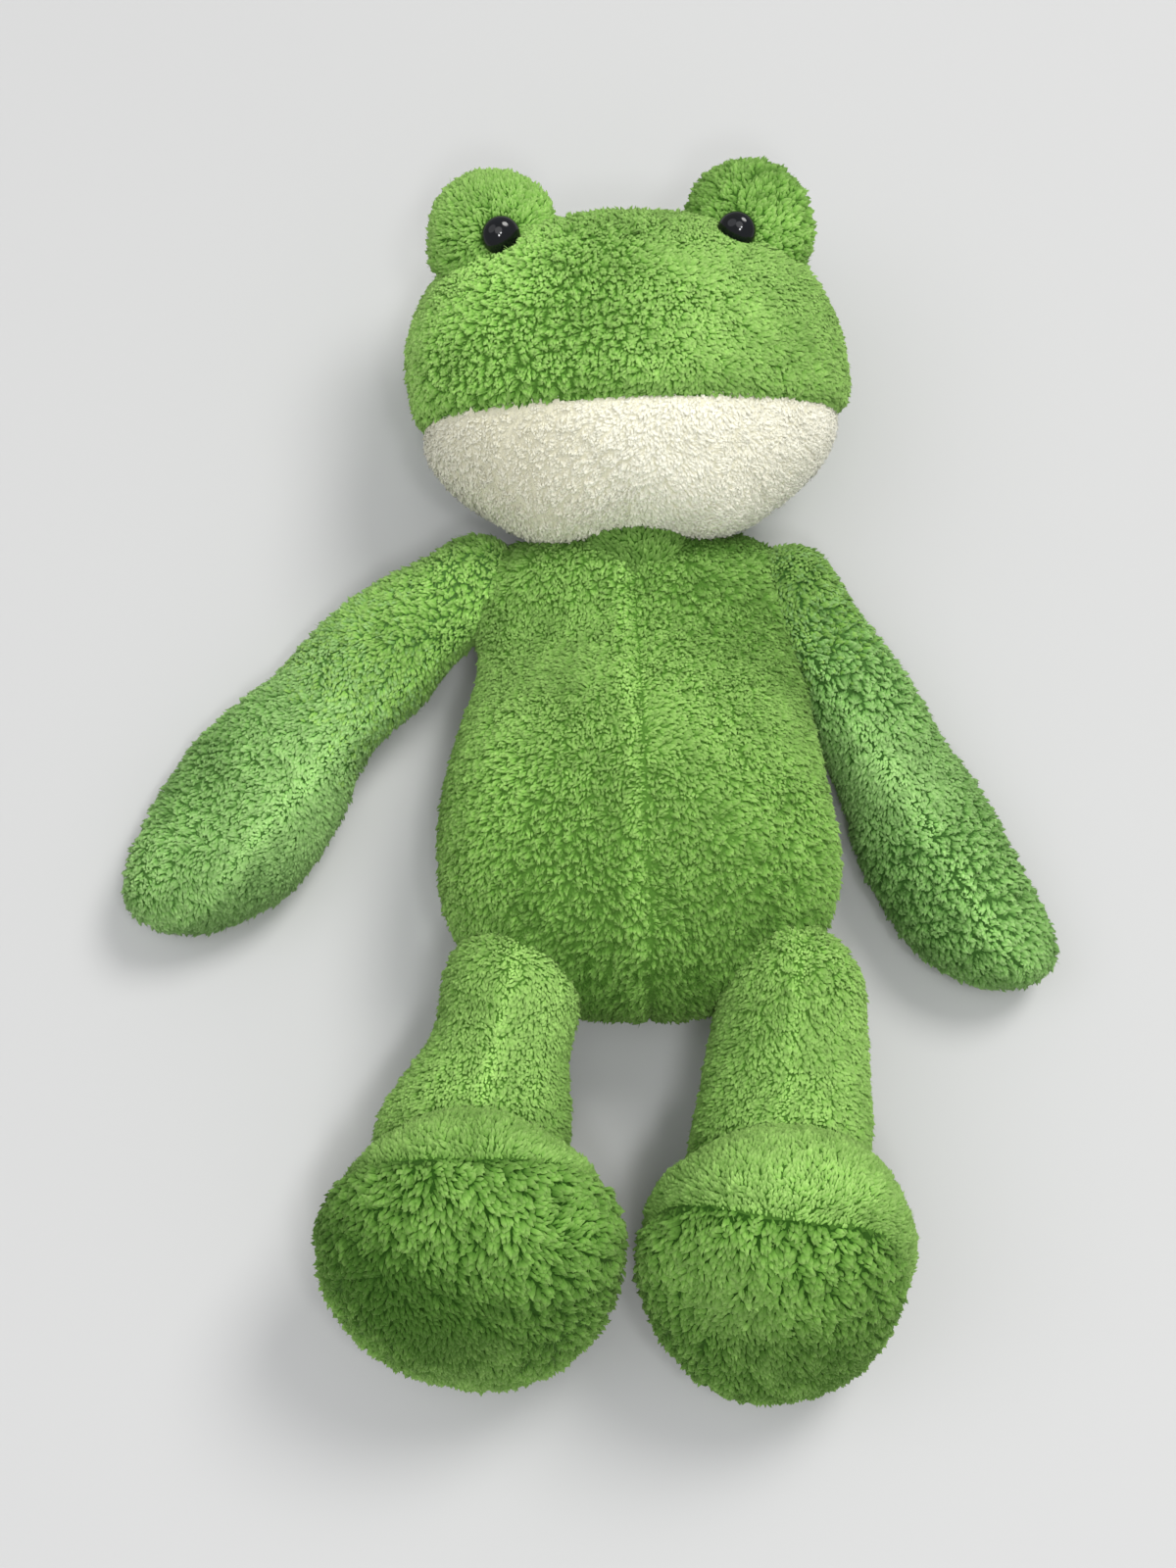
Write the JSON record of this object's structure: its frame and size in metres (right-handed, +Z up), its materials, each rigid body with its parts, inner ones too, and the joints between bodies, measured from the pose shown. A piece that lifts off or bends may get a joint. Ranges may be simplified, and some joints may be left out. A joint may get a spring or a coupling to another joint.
{
  "type": "plush frog",
  "caption": "Stuffed fleece frog lying on its back, with a cream chin, domed eyes on mounds and limbs that bend at soft joints.",
  "frame": {"origin": "under the middle of the torso, on the surface that the toy lies on", "axes": "+X to the right as seen from above, +Y from the feet to the head, +Z up from the surface to the belly"},
  "size_m": [0.2933, 0.3782, 0.0955],
  "materials": {
    "green_fleece": "short looped fleece pile",
    "cream_fleece": "short soft fleece pile",
    "stuffing": "loose fibre filling",
    "eye_plastic": "moulded, glossy",
    "washer_plastic": "moulded, satin"
  },
  "bodies": {
    "torso": {"torso_front_left": "green_fleece", "torso_front_right": "green_fleece", "torso_back": "green_fleece", "torso_stuffing": "stuffing"},
    "neck": {"neck_wad": "stuffing"},
    "head": {"head_crown": "green_fleece", "head_chin": "cream_fleece", "head_back": "green_fleece", "head_stuffing": "stuffing", "left_mound_front": "green_fleece", "left_mound_back": "green_fleece", "left_mound_stuffing": "stuffing", "left_eye": "eye_plastic", "left_eye_washer": "washer_plastic", "right_mound_front": "green_fleece", "right_mound_back": "green_fleece", "right_mound_stuffing": "stuffing", "right_eye": "eye_plastic", "right_eye_washer": "washer_plastic"},
    "left_shoulder": {"left_shoulder_wad": "stuffing"},
    "left_arm": {"left_arm_outer": "green_fleece", "left_arm_inner": "green_fleece", "left_arm_stuffing": "stuffing"},
    "right_shoulder": {"right_shoulder_wad": "stuffing"},
    "right_arm": {"right_arm_outer": "green_fleece", "right_arm_inner": "green_fleece", "right_arm_stuffing": "stuffing"},
    "left_hip": {"left_hip_wad": "stuffing"},
    "left_leg": {"left_leg_outer": "green_fleece", "left_leg_inner": "green_fleece", "left_leg_stuffing": "stuffing"},
    "left_foot": {"left_foot_upper": "green_fleece", "left_foot_sole": "green_fleece", "left_foot_stuffing": "stuffing"},
    "right_hip": {"right_hip_wad": "stuffing"},
    "right_leg": {"right_leg_outer": "green_fleece", "right_leg_inner": "green_fleece", "right_leg_stuffing": "stuffing"},
    "right_foot": {"right_foot_upper": "green_fleece", "right_foot_sole": "green_fleece", "right_foot_stuffing": "stuffing"}
  },
  "joints": [
    {"name": "neck_turn", "type": "hinge", "parent": "torso", "child": "neck", "pos_m": [-0.00232, 0.0715, 0.036], "axis": [0, 1, 0], "range_deg": [-20, 20]},
    {"name": "neck_nod", "type": "hinge", "parent": "neck", "child": "head", "pos_m": [-0.00232, 0.0715, 0.036], "axis": [1, 0, 0], "range_deg": [0, 15]},
    {"name": "left_shoulder_raise", "type": "hinge", "parent": "torso", "child": "left_shoulder", "pos_m": [-0.05205, 0.063, 0.027], "axis": [0, 0, -1], "range_deg": [0, 40]},
    {"name": "left_shoulder_lift", "type": "hinge", "parent": "left_shoulder", "child": "left_arm", "pos_m": [-0.05205, 0.063, 0.027], "axis": [-0.9578, -0.2873, 0], "range_deg": [0, 60]},
    {"name": "right_shoulder_raise", "type": "hinge", "parent": "torso", "child": "right_shoulder", "pos_m": [0.04795, 0.063, 0.027], "axis": [0, 0, 1], "range_deg": [0, 55]},
    {"name": "right_shoulder_lift", "type": "hinge", "parent": "right_shoulder", "child": "right_arm", "pos_m": [0.04795, 0.063, 0.027], "axis": [-0.9578, 0.2873, 0], "range_deg": [0, 60]},
    {"name": "left_hip_spread", "type": "hinge", "parent": "torso", "child": "left_hip", "pos_m": [-0.03963, -0.073, 0.046], "axis": [0, 0, -1], "range_deg": [0, 12]},
    {"name": "left_hip_lift", "type": "hinge", "parent": "left_hip", "child": "left_leg", "pos_m": [-0.03963, -0.073, 0.046], "axis": [-1, 0, 0], "range_deg": [0, 40]},
    {"name": "left_ankle_flex", "type": "hinge", "parent": "left_leg", "child": "left_foot", "pos_m": [-0.05033, -0.12299, 0.03403], "axis": [1, 0, 0], "range_deg": [-12, 4]},
    {"name": "right_hip_spread", "type": "hinge", "parent": "torso", "child": "right_hip", "pos_m": [0.04437, -0.073, 0.046], "axis": [0, 0, 1], "range_deg": [0, 12]},
    {"name": "right_hip_lift", "type": "hinge", "parent": "right_hip", "child": "right_leg", "pos_m": [0.04437, -0.073, 0.046], "axis": [-1, 0, 0], "range_deg": [0, 40]},
    {"name": "right_ankle_flex", "type": "hinge", "parent": "right_leg", "child": "right_foot", "pos_m": [0.03887, -0.12382, 0.03403], "axis": [1, 0, 0], "range_deg": [-12, 4]}
  ]
}
